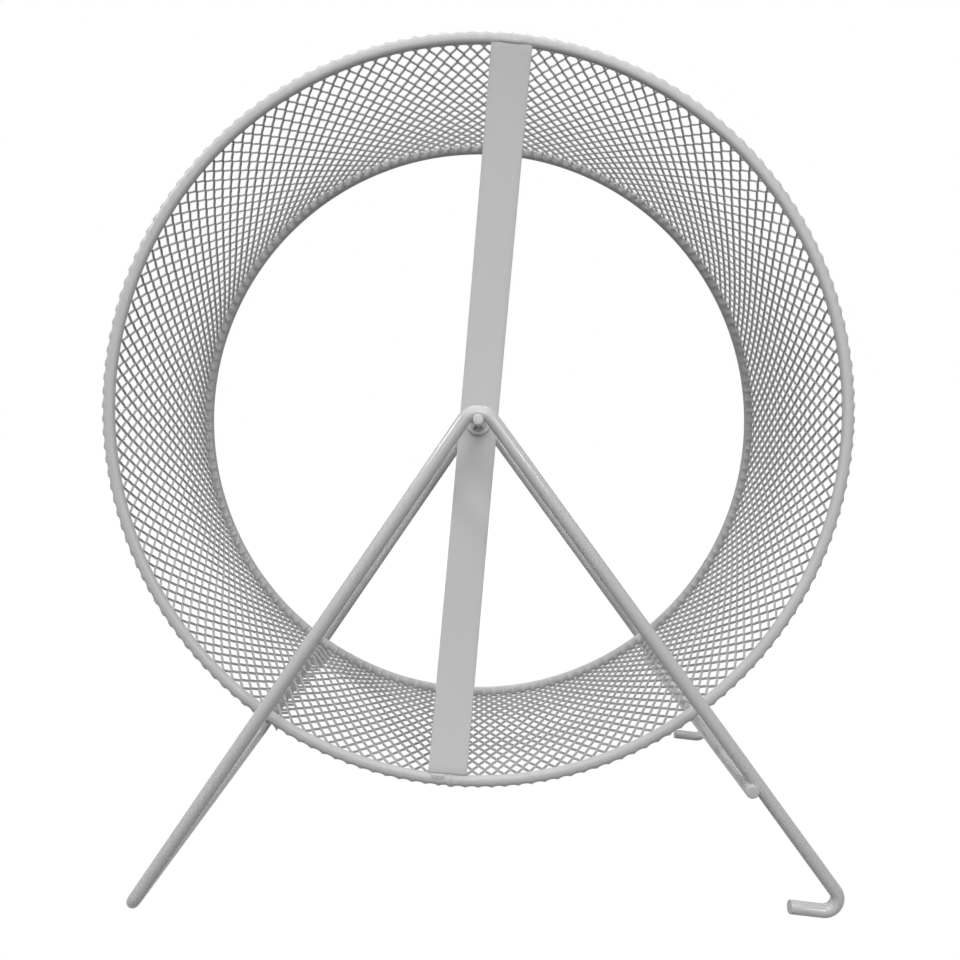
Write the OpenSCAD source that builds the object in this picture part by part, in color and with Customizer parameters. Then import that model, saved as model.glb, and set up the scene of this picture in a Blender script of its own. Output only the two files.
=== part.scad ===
/* [Drum] */
// Outer diameter of the drum, over its running mesh
drum_d = 301; // [200:1:360]
// Width of the running mesh, along the axle
drum_w = 130; // [80:5:160]
// Wire thickness of the two hoops
hoop_wire_d = 3.8; // [3:0.1:6]
// How far a hoop's wire stands out past the edge of the mesh
hoop_out = 1.3; // [0:0.1:1.4]
// Gap between a hoop and the mesh that is wrapped round it
mesh_seat = 0.15; // [0.15:0.05:0.3]
// Length of a hoop's butt weld, along the wire
hoop_weld_len = 3; // [2:0.5:10]
// How far a hoop's butt weld stands proud of the wire
hoop_weld_proud = 0.4; // [0.2:0.1:0.8]
// Where round the drum the hoops are butt welded, in degrees from straight right
hoop_weld_turn = 266; // [225:1:315]

/* [Running mesh] */
// Thickness of the expanded mesh, over its knuckles
mesh_t = 1; // [0.6:0.1:1.6]
// Short way of one real opening, round the drum
mesh_short = 5.5; // [4:0.1:8]
// Long way of one real opening, across the drum
mesh_long = 10.3; // [8:0.1:16]
// Width of one real strand
strand_w = 0.9; // [0.6:0.1:1.4]
// How many real openings a modelled one stands for, each way
mesh_coarse = 4; // [4:1:8]
// How far the two ends of the mesh strip lap over each other
seam_lap = 5.5; // [4:0.5:12]
// Where round the drum the lap is, in degrees from straight right
seam_turn = 236; // [200:1:260]

/* [Straps] */
// Width of the flat strap across each end of the drum
strap_w = 16; // [10:0.5:24]
// Thickness of a strap
strap_t = 1.5; // [1:0.1:3]
// How far a strap's middle is bowed into the drum
strap_bow = 18; // [8:1:30]
// Lean of the straps from upright, in degrees
strap_lean = 4.7; // [0:0.1:20]
// How far a strap's end reaches into the round of the hoop's wire
strap_bite = 1.6; // [1:0.1:1.9]
// Thickness of the weld beads at a strap's ends
strap_bead_d = 2.4; // [1.6:0.1:3.2]
// How much shorter than the strap's width a bead is, at each side
strap_bead_margin = 2.5; // [0.5:0.5:3]

/* [Hub] */
// Diameter of the fixed axle
axle_d = 4; // [3:0.1:6]
// Radial running clearance of a strap's hole on the axle
hub_clear = 0.05; // [0.02:0.01:0.1]
// Height of the axle above the ground
axle_h = 187; // [185:1:240]
// How far the axle's ends stand out of the frames
axle_proud = 1.2; // [0.5:0.1:5]
// Bevel at the axle's ends
axle_bevel = 0.5; // [0.2:0.1:0.8]
// Gap between a strap and its washer
hub_play = 0.3; // [0.2:0.1:1]
// Outer diameter of a hub washer
washer_d = 9; // [8:0.5:14]
// Thickness of a hub washer
washer_t = 0.8; // [0.5:0.1:1.5]
// Radial clearance of a hub washer on the axle
washer_clear = 0.15; // [0.1:0.05:0.3]
// Outer diameter of a push-on retaining clip
clip_d = 10; // [8:0.5:14]
// Thickness of the sheet that a clip is pressed from
clip_t = 0.5; // [0.3:0.1:0.8]
// Height of the clip's sprung cone
clip_cone_h = 1.2; // [0.8:0.1:2]
// Width of the flat rim round the cone
clip_rim_w = 1.2; // [0.8:0.1:1.6]
// Number of slits between the clip's teeth
clip_slits = 6; // [4:1:8]
// Width of one slit
clip_slit_w = 0.6; // [0.4:0.1:0.8]

/* [Stand] */
// Thickness of the stand's coated wire
wire_d = 5.2; // [4:0.1:7]
// Distance between the middles of the two A-shaped frames
frame_gap = 194; // [190:1:240]
// How far left of the axle the rail on the ground lies
left_reach = 131; // [110:1:145]
// How far right of the axle the wire's outermost turn reaches
right_reach = 137.2; // [115:0.1:145]
// Bend radius over the axle, at the middle of the wire
apex_bend_r = 6.6; // [5:0.1:12]
// Bend radius of the two corners between legs and rail
corner_bend_r = 5; // [4:0.1:12]
// Bend radius of the two hooked feet
hook_bend_r = 5; // [4:0.1:9]
// Length of the straight end of a hooked foot
hook_len = 12.6; // [6:0.1:20]
// Slope of the straight end of a hooked foot, in degrees
hook_slope = 6.5; // [0:0.5:15]
// How far two crossed wires sink into each other where they are welded
weld_sink = 1.9; // [1:0.1:2]
// Diameter of the metal that a weld squeezes out beside the wires
flash_d = 1.8; // [1.2:0.1:2.4]

/* [Cross rod] */
// Thickness of the coated rod that ties the two right legs
rod_d = 5.2; // [4:0.1:7]
// Height of the rod above the ground
rod_h = 50; // [35:1:70]
// How far the rod's ends stand out of the frames
rod_proud = 1; // [0.5:0.1:5]
// Bevel at the rod's ends
rod_bevel = 0.5; // [0.2:0.1:0.8]

/* [Hidden] */

$fn = 64;
// facets of large rounds, where the small ones above would leave flats that show
large_fn = 360;
// facets round the stand's wire, and the most that one ring of it turns from the last, in degrees
wire_fn = 16;
ring_turn = 15;
wire_grey = "silver";
weld_grey = "gainsboro";
hub_grey = "darkgray";

// radii of the drum, from the outside in
drum_r = drum_d / 2;
mesh_in_r = drum_r - mesh_t;
hoop_r = mesh_in_r - mesh_seat - hoop_wire_d / 2;
hoop_y = drum_w / 2 + hoop_out - hoop_wire_d / 2;

// the modelled lattice, its openings even in number round the drum
cells_round = 2 * round(PI * drum_d / (mesh_short * mesh_coarse) / 2);
cells_across = max(2, round(drum_w / (mesh_long * mesh_coarse)));
cell_turn = 360 / cells_round;
row_step = drum_w / cells_across / 2;
rows = 2 * cells_across;
opening_in_r = mesh_short * mesh_long / sqrt(pow(mesh_short, 2) + pow(mesh_long, 2)) / 2;
opening_share = 1 - strand_w / 2 / opening_in_r;

// the strap's arc, from hoop to hub
strap_end_r = hoop_r - hoop_wire_d / 2 + strap_bite;
strap_arc_r = (pow(strap_end_r, 2) + pow(strap_bow, 2)) / strap_bow / 2;
strap_arc_half = asin(strap_end_r / strap_arc_r);
hub_y = hoop_y - strap_bow;

// the stand's wire, as x and z of its bends in the plane of a frame
wire_r = wire_d / 2;
axle_r = axle_d / 2;
frame_y = frame_gap / 2;
axle_half = frame_y + wire_r + axle_proud;
rod_half = frame_y + wire_r + rod_proud;
rod_r = rod_d / 2;
apex_mid = [0, axle_h + axle_r + wire_r - weld_sink - apex_bend_r];
hook_mid = [right_reach - hook_bend_r, wire_r + hook_bend_r];
rail_mid = [-left_reach, wire_r];

function unit(v) = v / norm(v);
function heading(a) = [cos(a), sin(a)];
function bearing(v) = atan2(v[1], v[0]);
function bend_turn(a, b) = acos(unit(a) * unit(b));
// corner of the two straight stretches that touch a bend about mid, heading a in and b out
function corner_of(mid, r, a, b) = mid - unit(b - a) * r / cos(bend_turn(a, b) / 2);
function at_y(p, y) = [p[0], y, p[1]];

left_leg = heading(bearing(apex_mid - rail_mid) + asin(apex_bend_r / norm(apex_mid - rail_mid)));
right_leg = heading(bearing(hook_mid - apex_mid)
    - asin((apex_bend_r - hook_bend_r) / norm(hook_mid - apex_mid)));
hook_arm = heading(180 - hook_slope);
apex_corner = corner_of(apex_mid, apex_bend_r, left_leg, right_leg);
hook_corner = corner_of(hook_mid, hook_bend_r, right_leg, hook_arm);
hook_end = hook_corner + hook_arm * (hook_len + hook_bend_r * tan(bend_turn(right_leg, hook_arm) / 2));

// the cross rod under the right legs
leg_down = [right_leg[1], -right_leg[0]];
rod_foot = apex_corner + right_leg * (rod_h - apex_corner[1]) / right_leg[1];
rod_off = wire_r + rod_r - weld_sink;
rod_mid = rod_foot + leg_down * rod_off + right_leg * (-leg_down[1] * rod_off / right_leg[1]);

// the wire's corners from the front hooked foot round to the rear one, and the bend at each
wire_path = [at_y(hook_end, -frame_y), at_y(hook_corner, -frame_y), at_y(apex_corner, -frame_y),
    at_y(rail_mid, -frame_y), at_y(rail_mid, frame_y), at_y(apex_corner, frame_y),
    at_y(hook_corner, frame_y), at_y(hook_end, frame_y)];
wire_bends = [0, hook_bend_r, apex_bend_r, corner_bend_r, corner_bend_r, apex_bend_r, hook_bend_r, 0];

// turns a piece of the front into its twin at the rear
module at_rear() {
    mirror([0, 1, 0]) children();
}

module about_axle() {
    translate([0, 0, axle_h]) children();
}

// a solid of revolution about a line along y
module turned_y() {
    rotate([90, 0, 0]) rotate_extrude() children();
}

// a straight round rod along y, bevelled at both ends
module bevelled_rod(r, half, bevel) {
    turned_y() polygon([[0, -half], [r - bevel, -half], [r, bevel - half], [r, half - bevel],
        [r - bevel, half], [0, half]]);
}

// one straight stretch of wire
module straight(a, b, d) {
    v = b - a;
    translate(a) rotate([0, acos(v[2] / norm(v)), atan2(v[1], v[0])]) cylinder(h = norm(v), d = d);
}

// middle of the bend at corner b, between the corners a and c
function bend_mid(a, b, c, r) = let (way_in = unit(b - a), way_out = unit(c - b))
    b + unit(way_out - way_in) * r / cos(bend_turn(way_in, way_out) / 2);
// direction from that middle to where the bend begins
function bend_start(a, b, c, r) = let (way_in = unit(b - a))
    unit(b - way_in * r * tan(bend_turn(way_in, c - b) / 2) - bend_mid(a, b, c, r));

// one bend of wire at corner b, between the corners a and c
module bend(a, b, c, r, d) {
    mid = bend_mid(a, b, c, r);
    ex = bend_start(a, b, c, r);
    ey = unit(b - a);
    ez = cross(ex, ey);
    multmatrix([[ex[0], ey[0], ez[0], mid[0]], [ex[1], ey[1], ez[1], mid[1]], [ex[2], ey[2], ez[2], mid[2]],
        [0, 0, 0, 1]])
        rotate_extrude(angle = bend_turn(b - a, c - b)) translate([r, 0]) circle(d = d);
}

// middles and headings of the rings that a bend of wire is made of
function bend_rings(a, b, c, r) = let (
        mid = bend_mid(a, b, c, r),
        ex = bend_start(a, b, c, r),
        ey = unit(b - a),
        turn = bend_turn(b - a, c - b),
        steps = ceil(turn / ring_turn))
    [for (k = [0 : steps]) let (t = turn * k / steps)
        [mid + (ex * cos(t) + ey * sin(t)) * r, ey * cos(t) - ex * sin(t)]];

// the first side direction of every ring, carried along the wire without twist
function carried(rings, side, i = 0) = i == len(rings) ? []
    : let (way = rings[i][1], next = unit(side - way * (side * way)))
        concat([next], carried(rings, next, i + 1));

// a wire along the corners p with the bend radii r, as one closed skin of rings
module bent_wire(p, r, d) {
    last = len(p) - 1;
    rings = concat([[p[0], unit(p[1] - p[0])]],
        [for (i = [1 : last - 1]) each bend_rings(p[i - 1], p[i], p[i + 1], r[i])],
        [[p[last], unit(p[last] - p[last - 1])]]);
    sides = carried(rings, [0, 1, 0]);
    n = wire_fn;
    points = [for (i = [0 : len(rings) - 1]) let (u = sides[i], v = cross(rings[i][1], u))
        for (s = [0 : n - 1]) rings[i][0] + (u * cos(s * 360 / n) + v * sin(s * 360 / n)) * d / 2];
    walls = [for (i = [0 : len(rings) - 2]) for (s = [0 : n - 1]) let (a = i * n + s, b = i * n + (s + 1) % n)
        each [[a, a + n, b], [b, a + n, b + n]]];
    top = (len(rings) - 1) * n;
    ends = [[for (s = [0 : n - 1]) s], [for (s = [n - 1 : -1 : 0]) top + s]];
    polyhedron(points, concat(walls, ends));
}

// the expanded mesh: a lattice of diamond openings, closed by a straight strand at each edge
function on_drum(step, row, r) =
    [r * cos(step * cell_turn), (row - rows / 2) * row_step, r * sin(step * cell_turn)];
function blend_to(p, q, share) = p + (q - p) * share;
// places, in steps round and rows across, of the corners of the opening at step i of row j
function opening_corners(i, j) = let (c = i + ((j + 1) % 2) / 2)
    j == 0 ? [[c + 0.5, 0], [c, 1], [c - 0.5, 0], [c, 0]]
    : j == rows ? [[c - 0.5, rows], [c, rows - 1], [c + 0.5, rows], [c, rows]]
    : [[c + 0.5, j], [c, j + 1], [c - 0.5, j], [c, j - 1]];
function middle_of(q) = [for (k = [0, 1]) [for (p = q) p[k]] * [for (p = q) 1] / len(q)];
// knuckles of the rows, one step apart, and then those halfway between them along both edges
knuckles = concat([for (j = [0 : rows]) for (i = [0 : cells_round - 1]) [i + (j % 2) / 2, j]],
    [for (j = [0, rows]) for (i = [0 : cells_round - 1]) [i + 0.5, j]]);
// number in that list of the knuckle at a place
function knuckle(p) = p[1] % rows == 0 && p[0] % 1 != 0
    ? (rows + 1) * cells_round + p[1] / rows * cells_round + floor(p[0])
    : p[1] * cells_round + (round(p[0] - (p[1] % 2) / 2) + cells_round) % cells_round;

module lattice() {
    openings = [for (j = [0 : rows]) for (i = [0 : cells_round - 1]) opening_corners(i, j)];
    holes = [for (q = openings) let (m = middle_of(q)) for (p = q) blend_to(m, p, opening_share)];
    first = [for (k = 0, n = len(knuckles); k < len(openings); n = n + len(openings[k]), k = k + 1) n];
    flat = concat(knuckles, holes);
    shift = len(flat);
    points = [for (r = [drum_r, mesh_in_r]) for (p = flat) on_drum(p[0], p[1], r)];
    faces = [for (k = [0 : len(openings) - 1]) let (q = openings[k], n = len(q))
        for (s = [0 : n - 1]) let (
            a = knuckle(q[s]),
            b = knuckle(q[(s + 1) % n]),
            c = first[k] + s,
            d = first[k] + (s + 1) % n,
            edge = q[s][1] == q[(s + 1) % n][1])
        each concat([[a, b, c], [b, d, c], [a + shift, c + shift, b + shift], [b + shift, c + shift, d + shift],
            [c, d, c + shift], [d, d + shift, c + shift]],
            edge ? [[b, a, b + shift], [a, a + shift, b + shift]] : [])];
    polyhedron(points, faces);
}

module running_mesh() {
    color(wire_grey) about_axle() lattice();
}

// the outer end of the mesh strip, where it lies on the inner end and is welded down
module mesh_lap() {
    color(wire_grey) about_axle() rotate([0, -seam_turn, 0])
        translate([drum_r, -drum_w / 2, -seam_lap / 2]) cube([mesh_t, drum_w, seam_lap]);
}

module hoop_ring(d) {
    rotate([90, 0, 0]) rotate_extrude($fn = large_fn) translate([hoop_r, 0]) circle(d = d);
}

module front_hoop() {
    color(wire_grey) about_axle() translate([0, -hoop_y, 0]) hoop_ring(hoop_wire_d);
}

module rear_hoop() {
    color(wire_grey) at_rear() front_hoop();
}

// the raised bead round the butt joint of a hoop, clear of the mesh, the strap and the strap's own beads
module front_hoop_weld() {
    weld_angle = hoop_weld_len / hoop_r * 180 / PI;
    color(weld_grey) difference() {
        about_axle() translate([0, -hoop_y, 0]) rotate([90, 0, 0])
            rotate_extrude(angle = weld_angle, start = hoop_weld_turn - weld_angle / 2)
                translate([hoop_r, 0]) intersection() {
                    difference() {
                        circle(d = hoop_wire_d + 2 * hoop_weld_proud);
                        circle(d = hoop_wire_d);
                    }
                    translate([-hoop_wire_d, -hoop_wire_d]) square([hoop_wire_d, 2 * hoop_wire_d]);
                }
        on_strap() strap_strip();
        on_strap() bead_rods();
    }
}

module rear_hoop_weld() {
    color(weld_grey) at_rear() front_hoop_weld();
}

// a piece in the strap's own place: its length up and down through the axle, leaning as it does
module on_strap() {
    about_axle() rotate([0, strap_lean, 0]) children();
}

// the strip of metal before its ends meet the hoop, its middle bowed towards the drum's middle
module strap_strip() {
    translate([0, -hub_y - strap_arc_r, 0]) rotate([0, 90, 0])
        rotate_extrude(angle = 2 * strap_arc_half, start = 90 - strap_arc_half, $fn = 4 * large_fn)
            translate([strap_arc_r - strap_t / 2, -strap_w / 2]) square([strap_t, strap_w]);
}

module front_strap() {
    color(wire_grey) on_strap() difference() {
        strap_strip();
        translate([0, -hoop_y, 0]) hoop_ring(hoop_wire_d);
        translate([0, -hub_y + strap_w, 0]) rotate([90, 0, 0])
            cylinder(h = 2 * strap_w, r = axle_r + hub_clear);
    }
}

module rear_strap() {
    color(wire_grey) at_rear() front_strap();
}

// the rods that the strap's beads are cut from, along the inside of the hoop at each end
module bead_rods() {
    bead_len = strap_w - 2 * strap_bead_margin;
    bead_z = hoop_r - hoop_wire_d / 2;
    for (end = [-1, 1], side = [-1, 1])
        translate([-bead_len / 2, side * strap_t / 2 - hoop_y, end * bead_z])
            rotate([0, 90, 0]) cylinder(h = bead_len, d = strap_bead_d);
}

// beads before and behind each end of the strap
module front_strap_welds() {
    color(weld_grey) on_strap() difference() {
        bead_rods();
        strap_strip();
        translate([0, -hoop_y, 0]) hoop_ring(hoop_wire_d);
    }
}

module rear_strap_welds() {
    color(weld_grey) at_rear() front_strap_welds();
}

module axle() {
    color(wire_grey) about_axle() bevelled_rod(axle_r, axle_half, axle_bevel);
}

washer_y = hub_y + strap_t / 2 + hub_play;
clip_y = washer_y + washer_t;

module front_hub_washer() {
    color(hub_grey) about_axle() translate([0, -washer_y, 0])
        turned_y() translate([axle_r + washer_clear, 0])
            square([washer_d / 2 - axle_r - washer_clear, washer_t]);
}

module rear_hub_washer() {
    color(hub_grey) at_rear() front_hub_washer();
}

// a pressed steel clip: a flat rim and a slit cone whose teeth grip the axle
module front_clip() {
    cone_r = clip_d / 2 - clip_rim_w;
    color(hub_grey) about_axle() translate([0, -clip_y, 0]) difference() {
        turned_y() polygon([[clip_d / 2, 0], [clip_d / 2, clip_t], [cone_r, clip_t],
            [axle_r, clip_cone_h + clip_t], [axle_r, clip_cone_h], [cone_r, 0]]);
        for (k = [0 : clip_slits - 1])
            rotate([0, k * 360 / clip_slits, 0])
                translate([0, -clip_cone_h - 2 * clip_t, -clip_slit_w / 2])
                    cube([cone_r - clip_t, clip_cone_h + 3 * clip_t, clip_slit_w]);
    }
}

module rear_clip() {
    color(hub_grey) at_rear() front_clip();
}

// the axle's two saddles and the rod's two saddles are pressed into the wire by the welding
module stand_wire() {
    color(wire_grey) difference() {
        bent_wire(wire_path, wire_bends, wire_d);
        about_axle() rotate([90, 0, 0]) cylinder(h = 2 * axle_half + 2, r = axle_r, center = true);
        translate(at_y(rod_mid, 0)) rotate([90, 0, 0]) cylinder(h = 2 * rod_half + 2, r = rod_r, center = true);
    }
}

module cross_rod() {
    color(wire_grey) translate(at_y(rod_mid, 0)) bevelled_rod(rod_r, rod_half, rod_bevel);
}

// metal squeezed out on both sides of the axle, in the crook of the wire
module front_axle_weld() {
    crook_r = apex_bend_r - wire_r;
    crook_z = apex_mid[1] - axle_h;
    meet_z = (pow(crook_r, 2) - pow(axle_r, 2) - pow(crook_z, 2)) / -crook_z / 2;
    meet_x = sqrt(pow(axle_r, 2) - pow(meet_z, 2));
    color(weld_grey) difference() {
        for (side = [-1, 1])
            translate([side * meet_x, -frame_y, axle_h + meet_z]) sphere(d = flash_d);
        bend(wire_path[1], wire_path[2], wire_path[3], apex_bend_r, wire_d);
        about_axle() rotate([90, 0, 0]) cylinder(h = 2 * axle_half, r = axle_r, center = true);
    }
}

module rear_axle_weld() {
    color(weld_grey) at_rear() front_axle_weld();
}

// metal squeezed out above and below the rod, along the leg
module front_rod_weld() {
    meet = sqrt(pow(rod_r, 2) - pow(rod_off - wire_r, 2));
    color(weld_grey) difference() {
        for (side = [-1, 1])
            translate(at_y(rod_mid - leg_down * (rod_off - wire_r) + right_leg * side * meet, -frame_y))
                sphere(d = flash_d);
        straight(wire_path[1], wire_path[2], wire_d);
        translate(at_y(rod_mid, 0)) rotate([90, 0, 0]) cylinder(h = 2 * rod_half, r = rod_r, center = true);
    }
}

module rear_rod_weld() {
    color(weld_grey) at_rear() front_rod_weld();
}

running_mesh();
mesh_lap();
front_hoop();
rear_hoop();
front_hoop_weld();
rear_hoop_weld();
front_strap();
rear_strap();
front_strap_welds();
rear_strap_welds();
axle();
front_hub_washer();
rear_hub_washer();
front_clip();
rear_clip();
stand_wire();
cross_rod();
front_axle_weld();
rear_axle_weld();
front_rod_weld();
rear_rod_weld();
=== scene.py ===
import math

import bmesh
import bpy
from mathutils import Matrix, Vector, noise


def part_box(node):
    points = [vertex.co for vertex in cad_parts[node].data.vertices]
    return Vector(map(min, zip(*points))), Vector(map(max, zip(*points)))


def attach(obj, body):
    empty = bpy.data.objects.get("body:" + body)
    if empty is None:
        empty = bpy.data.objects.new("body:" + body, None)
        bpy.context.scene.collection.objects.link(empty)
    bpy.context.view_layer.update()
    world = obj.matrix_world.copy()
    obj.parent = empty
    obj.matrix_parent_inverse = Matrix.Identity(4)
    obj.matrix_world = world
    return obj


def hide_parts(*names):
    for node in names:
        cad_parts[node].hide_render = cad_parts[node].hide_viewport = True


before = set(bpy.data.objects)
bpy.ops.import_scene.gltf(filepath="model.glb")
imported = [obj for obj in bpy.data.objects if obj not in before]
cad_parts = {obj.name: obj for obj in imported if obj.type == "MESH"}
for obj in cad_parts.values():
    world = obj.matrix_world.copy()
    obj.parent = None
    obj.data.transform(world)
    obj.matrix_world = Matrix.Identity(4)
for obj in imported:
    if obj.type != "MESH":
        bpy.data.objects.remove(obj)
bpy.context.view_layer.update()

# Lengths below are in millimetres and angles in degrees, as on a workshop drawing. MM turns them to metres.
MM = 0.001


def node_box(name):
    """A CAD node's lowest and highest corners, in millimetres."""
    low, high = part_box(name)
    return low / MM, high / MM


# places taken from the CAD's own nodes
hoop_low, hoop_high = node_box("front_hoop")
wire_low, wire_high = node_box("stand_wire")
axle_low, axle_high = node_box("axle")
rod_low, rod_high = node_box("cross_rod")
skin_low, skin_high = node_box("running_mesh")

HOOP_WIRE_R = (hoop_high.y - hoop_low.y) / 2
HOOP_Y = -(hoop_high.y + hoop_low.y) / 2
HOOP_R = (hoop_high.x - hoop_low.x) / 2 - HOOP_WIRE_R
AXLE_Z = (axle_high.z + axle_low.z) / 2
AXLE_R = (axle_high.z - axle_low.z) / 2
ROD_R = (rod_high.z - rod_low.z) / 2
ROD_X = (rod_high.x + rod_low.x) / 2
ROD_Z = (rod_high.z + rod_low.z) / 2
DRUM_R = (skin_high.x - skin_low.x) / 2
HALF_W = skin_high.y

# sizes that a box doesn't show, as the CAD has them
HOOP_INNER_R = HOOP_R - HOOP_WIRE_R
MESH_T = 1.0
WIRE_R = 2.6
APEX_BEND_R = 6.6
CORNER_BEND_R = 5.0
HOOK_BEND_R = 5.0
HOOK_LEN = 12.6
HOOK_SLOPE = 6.5
WELD_SINK = 1.9
STRAP_W = 16.0
STRAP_T = 1.5
STRAP_BOW = 18.0
STRAP_LEAN = 4.7
STRAP_LAP = 1.6
STRAP_END_R = HOOP_INNER_R + STRAP_LAP
HUB_CLEAR = 0.05

# The real mesh: how many of its openings go once round the drum, and so their short way as an angle, then their
# long way along the axle. Every strand has the same row of bonds, and the first lies at the front edge.
OPENINGS_ROUND = 170.8
SHORT_WAY = 360 / OPENINGS_ROUND
LONG_WAY = 10.35
BONDS = 26
FIRST_BOND = -64.85
BOND_LEN = 1.7
STRAND_W = 0.7
STRAND_T = 1.35
# how far apart two strands' middles are in a bond, in strand widths
BOND_SPACING = 0.6
# where the sheet's first strand lies
FIRST_TURN = 235.05
EDGE_INSET = 0.4
MESH_HALF_W = HALF_W - EDGE_INSET
SHEET_R = DRUM_R - MESH_T + STRAND_T / 2
HALF_STEP = SHEET_R * math.radians(SHORT_WAY) / 2

FRAME_Y = wire_high.y - WIRE_R
RAIL_X = wire_low.x + WIRE_R
HOOK_X = wire_high.x - WIRE_R - HOOK_BEND_R
HOOK_Z = WIRE_R + HOOK_BEND_R
APEX_Z = AXLE_Z + AXLE_R + WIRE_R - WELD_SINK - APEX_BEND_R

# how round the wires are drawn: sides of their sections, degrees from ring to ring in a bend, steps in a cut edge
WIRE_SIDES = 32
ROD_SIDES = 48
HOOP_SIDES = 24
BEND_STEP = 6
EDGE_STEPS = 4
# radii of the rounded edges at the cut ends
WIRE_EDGE_R = 0.35
AXLE_EDGE_R = 0.5
ROD_EDGE_R = 0.6


# The meshes are made from points in millimetres. Wires and rods are tubes through rings of points.

def finished(name, points, faces, smooth=True):
    """A new object at the origin from points in millimetres, its place in its mesh."""
    mesh = bpy.data.meshes.new(name)
    mesh.from_pydata([Vector(p) * MM for p in points], [], faces)
    mesh.validate()
    for face in mesh.polygons:
        face.use_smooth = smooth
    piece = bpy.data.objects.new(name, mesh)
    bpy.context.scene.collection.objects.link(piece)
    return piece


def about_axle(p):
    return Vector((p[0], p[1], p[2] + AXLE_Z))


def tube(rings, sides, closed=False):
    """Points and faces of a tube through rings, each a middle, a way along, a side direction and a radius, then
    pairs of how much further it reaches than that radius and at which angle from its side direction."""
    lip_fall = 1.5
    points = []
    for middle, way, side, radius, *lips in rings:
        other = way.cross(side)
        for s in range(sides):
            a = math.tau * s / sides
            reach = radius + sum(more * max(0, math.cos(a - at)) ** lip_fall for more, at in lips)
            points.append(middle + (side * math.cos(a) + other * math.sin(a)) * reach)
    faces = []
    for i in range(len(rings) - (0 if closed else 1)):
        near, far = i * sides, (i + 1) % len(rings) * sides
        for s in range(sides):
            t = (s + 1) % sides
            faces.append((near + s, near + t, far + t, far + s))
    if not closed:
        faces.append(tuple(reversed(range(sides))))
        faces.append(tuple(range((len(rings) - 1) * sides, len(rings) * sides)))
    return points, faces


def rounded_end(middle, way, side, radius, bevel, last):
    """The rings that close a wire's cut end over a small rounded edge: from the flat end inwards, or for the last
    end from the wire outwards."""
    rings = []
    for k in range(EDGE_STEPS + 1):
        a = math.radians(90 * k / EDGE_STEPS)
        back = bevel * (1 - math.sin(a))
        rings.append((middle - way * back if last else middle + way * back, way, side,
                      radius - bevel * (1 - math.cos(a))))
    return rings if last else rings[::-1]


def bend(a, b, c, radius, step):
    """Middles and ways of the rings of a wire's bend at corner b, between the corners a and c."""
    way_in, way_out = (b - a).normalized(), (c - b).normalized()
    turn = way_in.angle(way_out)
    middle = b + (way_out - way_in).normalized() * radius / math.cos(turn / 2)
    ex = (b - way_in * radius * math.tan(turn / 2) - middle).normalized()
    count = max(2, math.ceil(math.degrees(turn) / step))
    out = []
    for k in range(count + 1):
        t = turn * k / count
        out.append((middle + (ex * math.cos(t) + way_in * math.sin(t)) * radius,
                    way_in * math.cos(t) - ex * math.sin(t)))
    return out


def bent_wire(name, corners, bends, radius, bevel):
    """A round wire along the corners with those bend radii, its two cut ends slightly rounded."""
    path = [(corners[0], (corners[1] - corners[0]).normalized())]
    for i in range(1, len(corners) - 1):
        path += bend(corners[i - 1], corners[i], corners[i + 1], bends[i], BEND_STEP)
    path.append((corners[-1], (corners[-1] - corners[-2]).normalized()))
    side = Vector((0, 1, 0))
    rings = []
    for middle, way in path:
        side = (side - way * side.dot(way)).normalized()
        rings.append((middle, way, side, radius))
    first, final = rings[0], rings[-1]
    rings = (rounded_end(*first, bevel, False) + rings[1:-1] + rounded_end(*final, bevel, True))
    return finished(name, *tube(rings, WIRE_SIDES))


def straight_rod(name, x, z, low_y, high_y, radius, bevel):
    way, side = Vector((0, 1, 0)), Vector((1, 0, 0))
    rings = rounded_end(Vector((x, low_y, z)), way, side, radius, bevel, False)
    rings += rounded_end(Vector((x, high_y, z)), way, side, radius, bevel, True)
    return finished(name, *tube(rings, ROD_SIDES))


def heading(degrees):
    """The direction seen from the front at that many degrees from straight right, as a unit vector."""
    a = math.radians(degrees)
    return Vector((math.cos(a), 0, math.sin(a)))


def bearing(v):
    return math.degrees(math.atan2(v.z, v.x))


def corner_of(middle, radius, a, b):
    """Where a wire's two straight runs would meet, from the middle and radius of the bend between them."""
    return middle - (b - a).normalized() * radius / math.cos(a.angle(b) / 2)


# The stand's wire: hooked foot, leg, apex, leg and rail corner in front, then back the same way.

def stand_corners():
    apex = Vector((0, 0, APEX_Z))
    hook = Vector((HOOK_X, 0, HOOK_Z))
    rail = Vector((RAIL_X, 0, WIRE_R))
    to_apex, to_hook = apex - rail, hook - apex
    left_leg = heading(bearing(to_apex) + math.degrees(math.asin(APEX_BEND_R / to_apex.length)))
    right_leg = heading(bearing(to_hook) - math.degrees(math.asin((APEX_BEND_R - HOOK_BEND_R) / to_hook.length)))
    hook_arm = heading(180 - HOOK_SLOPE)
    apex_corner = corner_of(apex, APEX_BEND_R, left_leg, right_leg)
    hook_corner = corner_of(hook, HOOK_BEND_R, right_leg, hook_arm)
    hook_end = hook_corner + hook_arm * (HOOK_LEN + HOOK_BEND_R * math.tan(right_leg.angle(hook_arm) / 2))
    front = [hook_end, hook_corner, apex_corner, rail]
    out = Vector((0, FRAME_Y, 0))
    return [p - out for p in front] + [p + out for p in reversed(front)]


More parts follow.
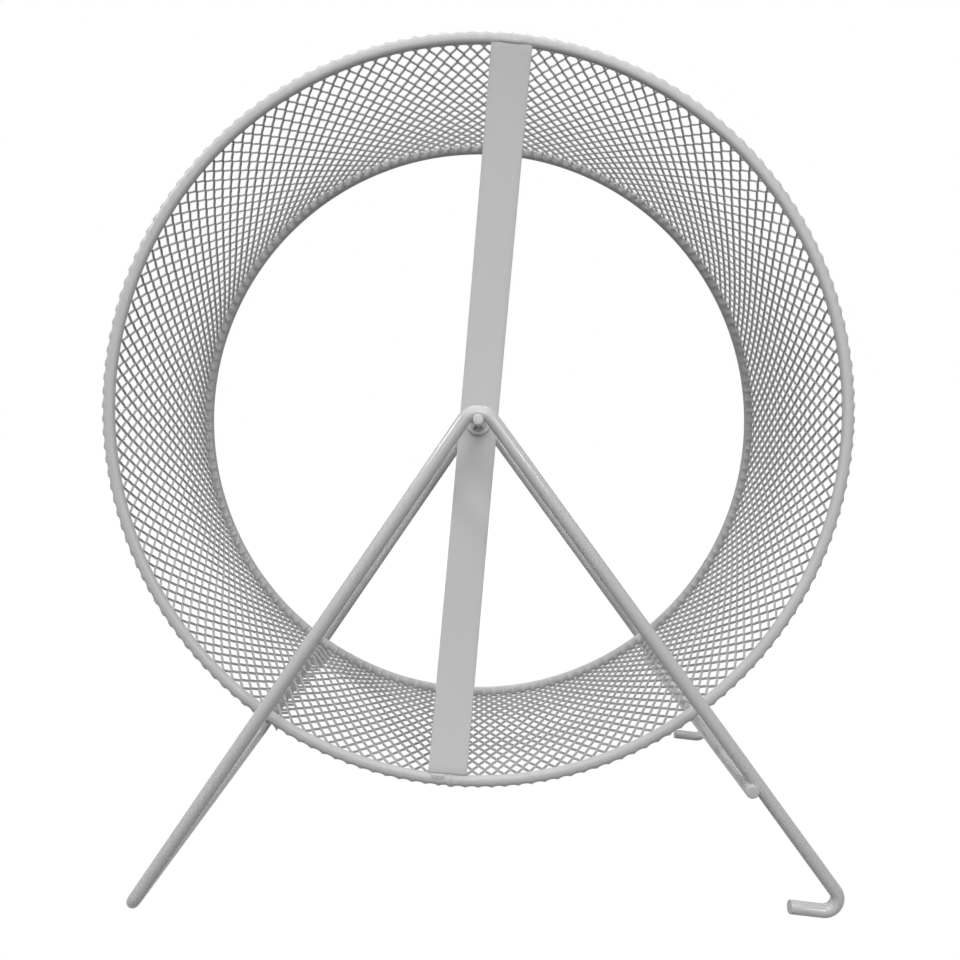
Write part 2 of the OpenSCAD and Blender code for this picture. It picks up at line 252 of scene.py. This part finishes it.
stand_wire = bent_wire(
    "bent_stand_wire", stand_corners(),
    [0, HOOK_BEND_R, APEX_BEND_R, CORNER_BEND_R, CORNER_BEND_R, APEX_BEND_R, HOOK_BEND_R, 0], WIRE_R, WIRE_EDGE_R)
axle_rod = straight_rod("axle_rod", 0, AXLE_Z, axle_low.y, axle_high.y, AXLE_R, AXLE_EDGE_R)
cross_rod = straight_rod("tie_rod", ROD_X, ROD_Z, rod_low.y, rod_high.y, ROD_R, ROD_EDGE_R)


# The two hoops: each a ring of wire with the raised seam of its butt weld. The mesh's edge is welded along its
# outer side, and the coat has run into that joint, so wire and edge show as one band with small lumps. Where the
# mesh's bonds meet the wire on its inner side, the lumps are higher.

HOOP_WELD_TURN = 265.7


def hoop(name, side):
    bead_high, bead_half = 0.4, 0.3
    lip, lump, inner_lump = 0.85, 0.14, 1.3
    inner_at = -side * math.radians(60)
    first_lump = FIRST_TURN + side * SHORT_WAY / 4
    # rings all the way round, and finer ones in their place across the butt weld
    count, fine_half, fine_steps = 1368, 1.4, 14
    turns = [k * 360 / count for k in range(count) if abs(k * 360 / count - HOOP_WELD_TURN) > fine_half]
    turns += [HOOP_WELD_TURN + k * fine_half / fine_steps for k in range(1 - fine_steps, fine_steps)]
    rings = []
    for degrees in sorted(turns):
        out, along = heading(degrees), heading(degrees + 90)
        bead = bead_high * math.exp(-((degrees - HOOP_WELD_TURN) / bead_half) ** 2)
        ripple = math.cos(math.tau * (degrees - first_lump) / SHORT_WAY)
        rings.append((about_axle(out * HOOP_R + Vector((0, side * HOOP_Y, 0))), along, out,
                      HOOP_WIRE_R + bead, (lip + lump * ripple, 0), (inner_lump * max(0, ripple), inner_at)))
    return finished(name, *tube(rings, HOOP_SIDES, closed=True))


front_hoop = hoop("front_hoop_ring", -1)
rear_hoop = hoop("rear_hoop_ring", 1)


# The bowed straps: each has the round hole for the axle at its middle. The upper end laps onto the hoop, and the
# lower one stops just short of it. Both ends are pulled outwards there.

UPPER_LAP = 1.4
LOWER_GAP = 0.5
UPPER_END_R = HOOP_INNER_R + UPPER_LAP
LOWER_END_R = HOOP_INNER_R - LOWER_GAP
END_OUT = 0.8
# the share of the way out from the hub where that pull starts
PULL_FROM = 0.75
STRAP_EDGE_R = 0.3
STRAP_ROWS = 40


def strap(name, side):
    """A flat strip with a square of faces round its hole, given its thickness and edges, then bowed and leaned."""
    across, around = 8, 32
    arc_r = (STRAP_END_R ** 2 + STRAP_BOW ** 2) / STRAP_BOW / 2
    hub_y = HOOP_Y - STRAP_BOW
    half = STRAP_W / 2
    shape = bmesh.new()

    def at(x, z):
        return shape.verts.new((x, 0, z))

    edge = []
    for k in range(around):
        quarter, part = divmod(k, around // 4)
        run = -1 + 2 * part / (around // 4)
        x, z = ((run, -1), (1, run), (-run, 1), (-1, -run))[quarter]
        edge.append(at(x * half, z * half))
    inner = edge
    # rings of faces from the square's edge in to the hole
    for share in (0.6, 0.25, 0):
        ring = []
        for k in range(around):
            corner = edge[k].co
            a = math.atan2(corner.z, corner.x)
            round_at = Vector((math.cos(a), 0, math.sin(a))) * (AXLE_R + HUB_CLEAR)
            place = round_at.lerp(corner, share)
            ring.append(at(place.x, place.z))
        for k in range(around):
            j = (k + 1) % around
            shape.faces.new((inner[k], inner[j], ring[j], ring[k]))
        inner = ring
    hair = 1e-6
    for end, end_r in ((-1, LOWER_END_R), (1, UPPER_END_R)):
        length = arc_r * math.asin(end_r / arc_r)
        line = [v for v in edge if abs(v.co.z - end * half) < hair]
        line.sort(key=lambda v: v.co.x)
        for r in range(1, STRAP_ROWS + 1):
            z = end * (half + (length - half) * r / STRAP_ROWS)
            new = [at(v.co.x, z) for v in line]
            for k in range(across):
                shape.faces.new((line[k], line[k + 1], new[k + 1], new[k]))
            line = new
    bmesh.ops.recalc_face_normals(shape, faces=shape.faces)
    mesh = bpy.data.meshes.new(name)
    shape.to_mesh(mesh)
    shape.free()
    piece = bpy.data.objects.new(name, mesh)
    bpy.context.scene.collection.objects.link(piece)
    thick = piece.modifiers.new("wall", "SOLIDIFY")
    thick.thickness = STRAP_T
    thick.offset = 0
    soft = piece.modifiers.new("rolled edges", "BEVEL")
    soft.width = STRAP_EDGE_R
    soft.segments = 3
    soft.angle_limit = math.radians(50)
    apply_modifiers(piece)
    lean = Matrix.Rotation(math.radians(STRAP_LEAN), 3, "Y")
    for v in piece.data.vertices:
        turn = v.co.z / arc_r
        reach = arc_r - v.co.y * side
        pull = max(0, abs(v.co.z) / STRAP_END_R - PULL_FROM) / (1 - PULL_FROM)
        outwards = hub_y + arc_r - reach * math.cos(turn) + END_OUT * pull ** 2
        v.co = about_axle(lean @ Vector((v.co.x, side * outwards, reach * math.sin(turn)))) * MM
    for face in piece.data.polygons:
        face.use_smooth = True
    recalculate(piece)
    return piece


def apply_modifiers(piece):
    """The piece's mesh as its modifiers leave it, with none of them left on it."""
    graph = bpy.context.evaluated_depsgraph_get()
    mesh = bpy.data.meshes.new_from_object(piece.evaluated_get(graph), depsgraph=graph)
    piece.modifiers.clear()
    piece.data = mesh


def recalculate(piece):
    shape = bmesh.new()
    shape.from_mesh(piece.data)
    bmesh.ops.recalc_face_normals(shape, faces=shape.faces)
    shape.to_mesh(piece.data)
    shape.free()


front_strap = strap("front_strap_strip", -1)
rear_strap = strap("rear_strap_strip", 1)


# The weld metal at the straps' ends: a wide smooth fill over the upper end, and a short bead at the lower one,
# each with a smaller bead behind the strip.

def weld_metal(name, side):
    beads = (
        # along the hoop, out from the axle and outwards along it, then half its size each way
        ((0.2, HOOP_R + 0.4, HOOP_Y + 0.15), (8.0, 2.1, 1.95)),
        ((0.0, HOOP_R - 2.2, HOOP_Y - 0.6), (6.0, 1.3, 1.2)),
        ((-3.9, 0.9 - HOOP_R, HOOP_Y + 0.7), (3.2, 1.5, 1.3)),
        ((0.0, 2.2 - HOOP_R, HOOP_Y - 0.6), (6.0, 1.2, 1.2)))
    squareness, lump_share = 0.65, 0.05
    shape = bmesh.new()
    lean = Matrix.Rotation(math.radians(STRAP_LEAN), 3, "Y")
    for (x, z, y), half in beads:
        for v in bmesh.ops.create_uvsphere(shape, u_segments=32, v_segments=20, radius=1)["verts"]:
            # squarer along the hoop than a plain oval, with the low lumps of molten metal
            square = Vector(math.copysign(abs(c) ** squareness, c) for c in v.co)
            spot = Vector((x + square.x * half[0], z + square.z * half[1], square.y))
            lumps = 1 + lump_share * noise.noise(spot)
            place = Vector((x + square.x * half[0] * lumps, side * (y + square.y * half[2] * lumps),
                            z + square.z * half[1] * lumps))
            v.co = about_axle(lean @ place) * MM
    bmesh.ops.recalc_face_normals(shape, faces=shape.faces)
    mesh = bpy.data.meshes.new(name)
    shape.to_mesh(mesh)
    shape.free()
    for face in mesh.polygons:
        face.use_smooth = True
    piece = bpy.data.objects.new(name, mesh)
    bpy.context.scene.collection.objects.link(piece)
    return piece


front_fills = weld_metal("front_strap_fills", -1)
rear_fills = weld_metal("rear_strap_fills", 1)


# The finishes are node trees, and their colours are sRGB hex values.

def add(tree, kind, inputs=None, **settings):
    """A new node in a tree: its settings, and its inputs as values or as the outputs that feed them."""
    made = tree.nodes.new(kind)
    for key, value in settings.items():
        setattr(made, key, value)
    for key, value in (inputs or {}).items():
        if isinstance(value, bpy.types.NodeSocket):
            tree.links.new(value, made.inputs[key])
        else:
            made.inputs[key].default_value = value
    return made


def paint(hex_code):
    """An sRGB hex value as linear red, green, blue and alpha."""
    parts = [int(hex_code[i:i + 2], 16) / 255 for i in (1, 3, 5)]
    return tuple(c / 12.92 if c <= 0.04045 else ((c + 0.055) / 1.055) ** 2.4 for c in parts) + (1,)


def new_material(name):
    made = bpy.data.materials.new(name)
    made.use_nodes = True
    made.node_tree.nodes.clear()
    return made, made.node_tree


# Powder coat: polyester powder, sprayed dry on clean steel and baked to a skin 0.1 mm thick. It gives the
# eye one even light grey, a semi-gloss sheen, and the faint orange peel of the melted powder.

CLOUD_MM = 40
SHEEN_SPREAD = 0.03


def powder_coat(name, light, dark, gloss, peel_mm, peel_depth):
    """Two close greys in soft clouds. Gloss is the shader's roughness, peel_mm and peel_depth the orange peel's
    width and depth in millimetres."""
    made, tree = new_material(name)
    place = add(tree, "ShaderNodeTexCoord").outputs["Object"]
    cloud = add(tree, "ShaderNodeTexNoise", {"Vector": place, "Scale": 1 / (CLOUD_MM * MM), "Detail": 2.0})
    shade = add(tree, "ShaderNodeMix", {"Factor": cloud.outputs["Fac"], 6: paint(dark), 7: paint(light)},
                data_type="RGBA")
    peel = add(tree, "ShaderNodeTexNoise", {"Vector": place, "Scale": 1 / (peel_mm * MM), "Detail": 1.0})
    bump = add(tree, "ShaderNodeBump", {"Height": peel.outputs["Fac"], "Strength": 0.4,
                                        "Distance": peel_depth * MM})
    sheen = add(tree, "ShaderNodeMapRange", {"Value": cloud.outputs["Fac"], "To Min": gloss - SHEEN_SPREAD,
                                             "To Max": gloss + SHEEN_SPREAD})
    skin = add(tree, "ShaderNodeBsdfPrincipled", {
        "Base Color": shade.outputs[2], "Roughness": sheen.outputs[0], "Normal": bump.outputs[0], "IOR": 1.5})
    add(tree, "ShaderNodeOutputMaterial", {"Surface": skin.outputs[0]})
    return made


coat_on_wire = powder_coat("powder_coat_on_wire", "#c9c8c8", "#c3c2c3", 0.14, 2.5, 0.002)
coat_on_hoop = powder_coat("powder_coat_on_hoop", "#c9c8c8", "#c3c2c3", 0.4, 2.5, 0.006)
coat_on_strap = powder_coat("powder_coat_on_strip", "#c9c8c8", "#c4c3c4", 0.4, 1.4, 0.01)
coat_on_mesh = powder_coat("powder_coat_on_expanded_mesh", "#c9c8c8", "#c1c0c1", 0.38, 0.8, 0.012)
coat_on_weld = powder_coat("powder_coat_on_weld", "#c9c8c8", "#c1c0c1", 0.36, 1.1, 0.05)
coat_on_clip = powder_coat("powder_coat_on_pressed_steel", "#c6c5c5", "#bebdbd", 0.32, 0.7, 0.02)


# The running mesh: zigzag strands of one expanded sheet, wrapped round the hoops. The strands' number includes the
# last few, which lap over the first ones. Their scatter is how far off the true round they lie.

STRANDS = 344
LAPPING = 3
LAP_LIFT = 0.9
SCATTER = 0.05
SCATTER_SEED = 7


def flat_strand(name):
    """One strand of the flat sheet, from bond to bond: X over to the next strand, Y along the axle and Z outwards.
    Its section is a rhomb, as the coat leaves little of the sheared strip's corners."""
    swing = (HALF_STEP - STRAND_W * BOND_SPACING) / 2
    stations = [(FIRST_BOND + (bond * LONG_WAY + end * BOND_LEN) / 2, swing if bond % 2 else -swing)
                for bond in range(BONDS) for end in (-1, 1)]
    points = []
    for along, over in stations:
        if abs(along) > MESH_HALF_W:
            # the sheet is sheared off inside this bond, where the strand runs straight
            along = math.copysign(MESH_HALF_W, along)
        for x, z in ((1, 0), (0, 1), (-1, 0), (0, -1)):
            points.append((over + x * STRAND_W / 2, along, z * STRAND_T / 2))
    corners = 4
    faces = [tuple(range(corners)), tuple(reversed(range(len(points) - corners, len(points))))]
    for i in range(len(stations) - 1):
        for k in range(corners):
            near, turn = corners * i + k, corners * i + (k + 1) % corners
            faces.append((near, near + corners, turn + corners, turn))
    return finished(name, points, faces, smooth=False)


def mesh_tree(material):
    """Copies of the flat strand side by side, every other one turned over, the last few lifted to lap over the
    first, and the whole sheet wound round the axle."""
    tree = bpy.data.node_groups.new("expanded_mesh", "GeometryNodeTree")
    tree.interface.new_socket("Geometry", in_out="INPUT", socket_type="NodeSocketGeometry")
    for name, kind in (("Strands", "Int"), ("Step", "Float"), ("Radius", "Float"), ("First turn", "Float"),
                       ("Lapping", "Int"), ("Lap lift", "Float"), ("Scatter", "Float"), ("Seed", "Int"),
                       ("Axle height", "Float")):
        tree.interface.new_socket(name, in_out="INPUT", socket_type="NodeSocket" + kind)
    tree.interface.new_socket("Geometry", in_out="OUTPUT", socket_type="NodeSocketGeometry")
    given = add(tree, "NodeGroupInput").outputs
    index = add(tree, "GeometryNodeInputIndex").outputs[0]
    step = add(tree, "ShaderNodeCombineXYZ", {0: given["Step"]}).outputs[0]
    spots = add(tree, "GeometryNodeMeshLine", {"Count": given["Strands"], "Offset": step})
    odd = add(tree, "ShaderNodeMath", {0: index, 1: 2.0}, operation="MODULO").outputs[0]
    over = add(tree, "ShaderNodeMath", {0: odd, 1: math.pi}, operation="MULTIPLY").outputs[0]
    placed = add(tree, "GeometryNodeInstanceOnPoints", {
        "Points": spots.outputs[0], "Instance": given["Geometry"],
        "Rotation": add(tree, "ShaderNodeCombineXYZ", {1: over}).outputs[0]})
    # lapping strands lie outside the first ones, and every strand is a hair off the true round
    last = add(tree, "ShaderNodeMath", {0: given["Strands"], 1: given["Lapping"]}, operation="SUBTRACT").outputs[0]
    below = add(tree, "ShaderNodeMath", {0: index, 1: last}, operation="LESS_THAN").outputs[0]
    lift = add(tree, "ShaderNodeMapRange", {"Value": below, "To Min": given["Lap lift"], "To Max": 0.0}).outputs[0]
    spread = add(tree, "ShaderNodeMath", {0: given["Scatter"], 1: -1.0}, operation="MULTIPLY").outputs[0]
    uneven = add(tree, "FunctionNodeRandomValue", {2: spread, 3: given["Scatter"], "Seed": given["Seed"]},
                 data_type="FLOAT").outputs[1]
    outwards = add(tree, "ShaderNodeMath", {0: lift, 1: uneven}, operation="ADD").outputs[0]
    shifted = add(tree, "GeometryNodeTranslateInstances", {
        "Instances": placed.outputs[0], "Local Space": False,
        "Translation": add(tree, "ShaderNodeCombineXYZ", {2: outwards}).outputs[0]})
    real = add(tree, "GeometryNodeRealizeInstances", {0: shifted.outputs[0]})
    # wound up: the way across the sheet becomes an angle, the way out a radius
    flat = add(tree, "ShaderNodeSeparateXYZ", {0: add(tree, "GeometryNodeInputPosition").outputs[0]}).outputs
    arc = add(tree, "ShaderNodeMath", {0: flat[0], 1: given["Radius"]}, operation="DIVIDE").outputs[0]
    turn = add(tree, "ShaderNodeMath", {0: arc, 1: given["First turn"]}, operation="ADD").outputs[0]
    radius = add(tree, "ShaderNodeMath", {0: flat[2], 1: given["Radius"]}, operation="ADD").outputs[0]
    back = add(tree, "ShaderNodeMath", {0: turn, 1: -1.0}, operation="MULTIPLY").outputs[0]
    wound = add(tree, "ShaderNodeVectorRotate", {
        "Vector": add(tree, "ShaderNodeCombineXYZ", {0: radius, 1: flat[1]}).outputs[0], "Angle": back},
        rotation_type="Y_AXIS")
    height = add(tree, "ShaderNodeCombineXYZ", {2: given["Axle height"]}).outputs[0]
    middle = add(tree, "ShaderNodeVectorMath", {0: wound.outputs[0], 1: height}, operation="ADD").outputs[0]
    moved = add(tree, "GeometryNodeSetPosition", {"Geometry": real.outputs[0], "Position": middle})
    # winding it this way round turns the sheet inside out, so its faces are turned back
    turned = add(tree, "GeometryNodeFlipFaces", {"Mesh": moved.outputs[0]})
    dressed = add(tree, "GeometryNodeSetMaterial", {"Geometry": turned.outputs[0], "Material": material})
    add(tree, "NodeGroupOutput", {0: dressed.outputs[0]})
    return tree


# Between its hoops the soft sheet bows inwards, most at the top, and handling has dented it a little.

TOP_BOW = 3.8
BOTTOM_BOW = 2.2
TOP_TURN = 100
# On one side of the drum the bow is deeper towards the rear, and on the other towards the front.
BOW_SKEW = 0.6
SKEW_TURN = 190
# where round the drum and along the axle, how far it reaches each way, and how deep
DENTS = ((240, 25, 12, 18, 1.5), (200, 5, 14, 25, 1.0), (280, -8, 12, 18, -1.2))


def press_in(piece):
    """Moves the sheet inwards by its bow and its dents, and leaves its two edges on the hoops."""
    mean_bow, more_bow = (TOP_BOW + BOTTOM_BOW) / 2, (TOP_BOW - BOTTOM_BOW) / 2
    for v in piece.data.vertices:
        out = Vector((v.co.x / MM, 0, v.co.z / MM - AXLE_Z))
        turn, along = bearing(out), v.co.y / MM
        share = along / HALF_W
        depth = mean_bow + more_bow * math.cos(math.radians(turn - TOP_TURN))
        depth *= 1 + BOW_SKEW * math.cos(math.radians(turn - SKEW_TURN)) * share
        for at_turn, at_along, wide, long, deep in DENTS:
            round_by = (turn - at_turn + 180) % 360 - 180
            depth += deep * math.exp(-(round_by / wide) ** 2 - ((along - at_along) / long) ** 2)
        v.co -= out.normalized() * depth * (1 - share ** 2) * MM


def running_mesh():
    piece = flat_strand("expanded_mesh_skin")
    mod = piece.modifiers.new("strands", "NODES")
    tree = mesh_tree(coat_on_mesh)
    mod.node_group = tree
    values = {
        "Strands": STRANDS, "Step": HALF_STEP * MM, "Radius": SHEET_R * MM, "First turn": math.radians(FIRST_TURN),
        "Lapping": LAPPING, "Lap lift": LAP_LIFT * MM, "Scatter": SCATTER * MM, "Seed": SCATTER_SEED,
        "Axle height": AXLE_Z * MM}
    for item in tree.interface.items_tree:
        if item.in_out == "INPUT" and item.name in values:
            mod[item.identifier] = values[item.name]
    apply_modifiers(piece)
    press_in(piece)
    return piece


mesh_skin = running_mesh()


# Each piece gets its finish, the body that it rides on and the CAD nodes that it stands for.

def dress(piece, material, body, slot, *nodes):
    if piece.data.materials:
        piece.data.materials[0] = material
    else:
        piece.data.materials.append(material)
    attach(piece, body)
    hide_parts(*nodes)


dress(mesh_skin, coat_on_mesh, "wheel", "coated_mesh", "running_mesh", "mesh_lap")
dress(front_hoop, coat_on_hoop, "wheel", "coated_wire", "front_hoop", "front_hoop_weld")
dress(rear_hoop, coat_on_hoop, "wheel", "coated_wire", "rear_hoop", "rear_hoop_weld")
dress(front_strap, coat_on_strap, "wheel", "coated_strap", "front_strap")
dress(rear_strap, coat_on_strap, "wheel", "coated_strap", "rear_strap")
dress(front_fills, coat_on_weld, "wheel", "coated_weld", "front_strap_welds")
dress(rear_fills, coat_on_weld, "wheel", "coated_weld", "rear_strap_welds")
dress(stand_wire, coat_on_wire, "stand", "coated_wire", "stand_wire")
dress(axle_rod, coat_on_wire, "stand", "coated_wire", "axle")
dress(cross_rod, coat_on_wire, "stand", "coated_wire", "cross_rod")

# the small parts that are the CAD's own pieces
kept = {coat_on_weld: ("front_axle_weld", "rear_axle_weld", "front_rod_weld", "rear_rod_weld"),
        coat_on_clip: ("front_hub_washer", "rear_hub_washer", "front_clip", "rear_clip")}
for material, names in kept.items():
    for name in names:
        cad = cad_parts[name]
        cad.data.materials.clear()
        cad.data.materials.append(material)


# The plain white stage, the lamps and the camera.

FLOOR_HALF = 6000
# how bright the floor glows near the object and away from it, from and to how many metres, and how much of what
# the camera sees is that glow
NEAR_GLOW = 1.17
FAR_GLOW = 1.25
GLOW_FROM = 0.25
GLOW_TO = 0.8
GLOW_SHARE = 0.85


def background_rays(tree):
    """1 for the rays that see the plain white background, straight on or in gloss and glass, and 0 for the rest."""
    path = add(tree, "ShaderNodeLightPath").outputs
    seen = add(tree, "ShaderNodeMath", {0: path["Is Camera Ray"], 1: path["Is Glossy Ray"]}, operation="MAXIMUM")
    return add(tree, "ShaderNodeMath", {0: seen.outputs[0], 1: path["Is Transmission Ray"]},
               operation="MAXIMUM").outputs[0]


def plain_stage():
    """A white floor that keeps a faint shadow of the object and fades into the same white all round."""
    made, tree = new_material("white_floor")
    place = add(tree, "ShaderNodeTexCoord").outputs["Object"]
    away = add(tree, "ShaderNodeVectorMath", {0: place}, operation="LENGTH").outputs["Value"]
    level = add(tree, "ShaderNodeMapRange", {"Value": away, "From Min": GLOW_FROM, "From Max": GLOW_TO,
                                             "To Min": NEAR_GLOW, "To Max": FAR_GLOW}).outputs[0]
    share = add(tree, "ShaderNodeMath", {0: background_rays(tree), 1: GLOW_SHARE}, operation="MULTIPLY").outputs[0]
    matt = add(tree, "ShaderNodeBsdfDiffuse", {"Color": paint("#505050")})
    glow = add(tree, "ShaderNodeEmission", {"Color": (1, 1, 1, 1), "Strength": level})
    both = add(tree, "ShaderNodeMixShader", {0: share, 1: matt.outputs[0], 2: glow.outputs[0]})
    add(tree, "ShaderNodeOutputMaterial", {"Surface": both.outputs[0]})
    corners = [(x * FLOOR_HALF, y * FLOOR_HALF, 0) for x, y in ((-1, -1), (1, -1), (1, 1), (-1, 1))]
    floor = finished("floor", corners, [(0, 1, 2, 3)], smooth=False)
    floor.data.materials.append(made)
    world = bpy.data.worlds.new("white_studio")
    world.use_nodes = True
    tree = world.node_tree
    tree.nodes.clear()
    # soft light from above and in front, little from below and from behind
    way = add(tree, "ShaderNodeSeparateXYZ", {0: add(tree, "ShaderNodeTexCoord").outputs["Generated"]}).outputs
    high = add(tree, "ShaderNodeMapRange", {"Value": way[2], "From Min": -0.1, "From Max": 0.25,
                                            "To Min": 0.02, "To Max": 0.45}).outputs[0]
    near = add(tree, "ShaderNodeMapRange", {"Value": way[1], "From Min": -0.7, "From Max": 0.4,
                                            "To Min": 0.5, "To Max": 0.1}).outputs[0]
    soft = add(tree, "ShaderNodeMath", {0: high, 1: near}, operation="MULTIPLY").outputs[0]
    strength = add(tree, "ShaderNodeMapRange", {"Value": background_rays(tree), "To Min": soft, "To Max": 1.0})
    sky = add(tree, "ShaderNodeBackground", {"Color": (1, 1, 1, 1), "Strength": strength.outputs[0]})
    add(tree, "ShaderNodeOutputWorld", {"Surface": sky.outputs[0]})
    bpy.context.scene.world = world


def soft_lamp(name, azimuth, elevation, distance, size, power):
    """A square lamp aimed at the axle: azimuth 0 is straight in front and positive to the right. Distance and size
    are in metres, and power in watts."""
    lamp = bpy.data.lights.new(name, "AREA")
    lamp.size = size
    lamp.energy = power
    held = bpy.data.objects.new(name, lamp)
    bpy.context.scene.collection.objects.link(held)
    a, e = math.radians(azimuth), math.radians(elevation)
    away = Vector((math.sin(a) * math.cos(e), -math.cos(a) * math.cos(e), math.sin(e)))
    held.location = Vector((0, 0, AXLE_Z * MM)) + away * distance
    held.rotation_euler = away.to_track_quat("Z", "Y").to_euler()


def photo_camera():
    """The camera as the photograph's own perspective gives it, near the axle's height and turned a little down.
    Its angles are in radians, and its focal length and shift in pixels of the square frame."""
    pitch, roll = 0.07751, -0.0066
    focal, shift, frame_side, sensor = 863, 28, 960, 36
    ahead = Vector((0, math.cos(pitch), -math.sin(pitch)))
    right = Vector((1, 0, 0))
    down = ahead.cross(right)
    across = right * math.cos(roll) + down * math.sin(roll)
    up = right * math.sin(roll) - down * math.cos(roll)
    turn = Matrix((across, up, -ahead)).transposed()
    lens = bpy.data.cameras.new("photo_view")
    lens.sensor_width = sensor
    lens.lens = focal / frame_side * sensor
    lens.shift_y = shift / frame_side
    lens.clip_start = 0.01
    held = bpy.data.objects.new("photo_view", lens)
    bpy.context.scene.collection.objects.link(held)
    held.matrix_world = Matrix.Translation(Vector((0.84, -411.6, 179.37)) * MM) @ turn.to_4x4()
    bpy.context.scene.camera = held


plain_stage()
soft_lamp("key", 3, 22, 1.2, 0.25, 1.9)
soft_lamp("front", 0, 8, 0.5, 0.2, 0.28)
soft_lamp("above", 0, 58, 1.0, 1.0, 6.6)
soft_lamp("back", 180, 50, 1.6, 1.0, 8)
soft_lamp("left", -74, 35, 2.2, 0.35, 11)
soft_lamp("right", 27, 17, 2.2, 0.25, 5)
photo_camera()
bpy.context.scene.view_settings.view_transform = "Standard"

bpy.context.view_layer.update()
